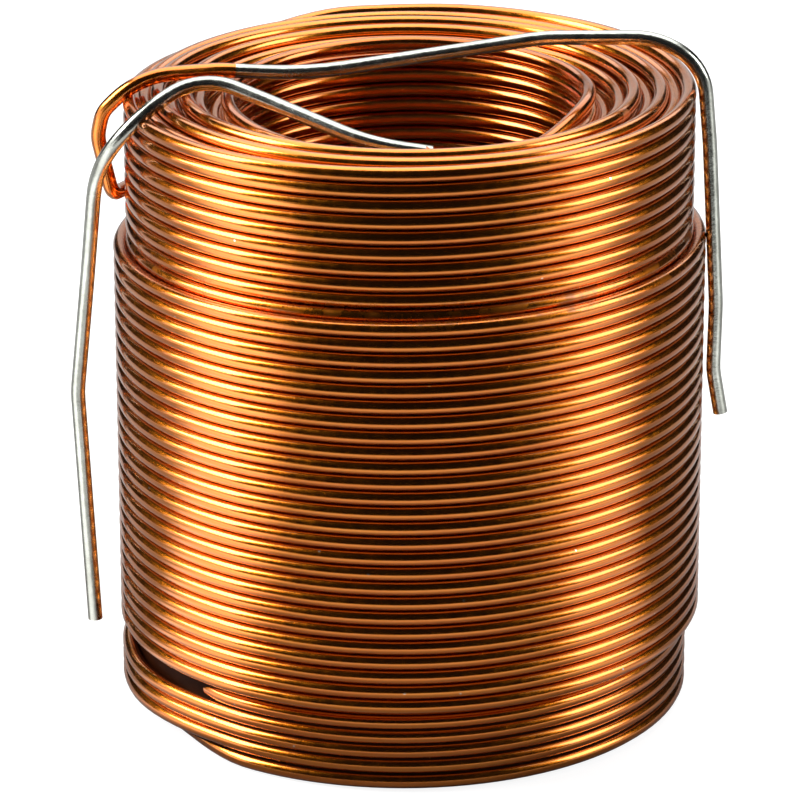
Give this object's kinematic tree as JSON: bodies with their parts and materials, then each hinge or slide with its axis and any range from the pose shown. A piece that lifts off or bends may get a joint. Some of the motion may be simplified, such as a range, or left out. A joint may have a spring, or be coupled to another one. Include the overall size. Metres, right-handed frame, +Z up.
{
  "type": "air core inductor",
  "caption": "Self-supporting coil of glossy enamelled copper wire wound in layers, with an open bore and two bent, tinned ends over the rim.",
  "frame": {"origin": "on the coil's axis at the bore's lower mouth, level with the base that it stands on", "axes": "+Z up along the coil's axis; -Y is the front, where the start wire crosses the bore; -X is the side where the start lead hangs and +X the side where the finish lead hangs"},
  "size_m": [0.0579, 0.0516, 0.0607],
  "materials": {
    "enamelled_wire": "gloss clear orange-brown enamel over copper",
    "tinned_wire": "dip-tinned copper, silvery and slightly pitted"
  },
  "bodies": {
    "root": {"winding": "enamelled_wire", "start_lead": "tinned_wire", "finish_lead": "tinned_wire"}
  },
  "joints": []
}
